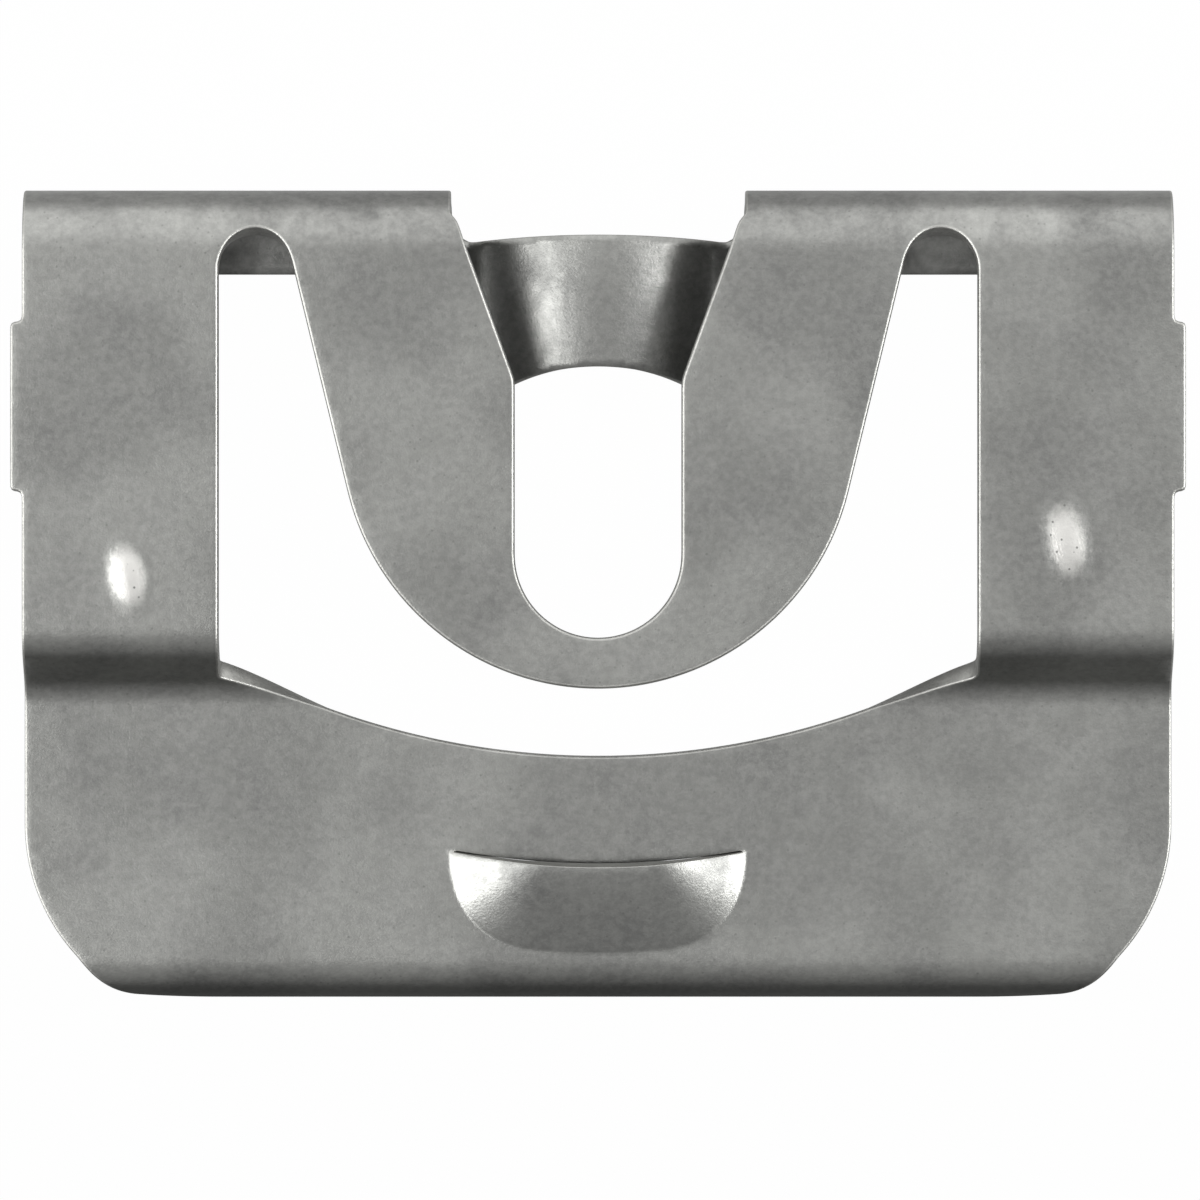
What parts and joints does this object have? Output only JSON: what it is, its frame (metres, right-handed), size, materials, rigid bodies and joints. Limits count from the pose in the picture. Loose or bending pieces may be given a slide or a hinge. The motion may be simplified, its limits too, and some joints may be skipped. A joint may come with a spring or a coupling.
{
  "type": "molding clip",
  "caption": "Folded spring-steel sheet clip with a slotted tongue that grips a stud, a bowed spring bridge behind it and a lanced louver that catches a trim flange.",
  "frame": {"origin": "centre of the stud slot's round end, in the middle of the sheet's thickness", "axes": "+X along the clip's width, +Y towards the folded top edge, +Z out of the front plate; the clip lies on its back, as it comes to rest"},
  "size_m": [0.0302, 0.0209, 0.0037],
  "materials": {
    "sheet": "satin grey plated spring steel with a fine mottle"
  },
  "bodies": {
    "root": {"molding_clip": "sheet"}
  },
  "joints": []
}
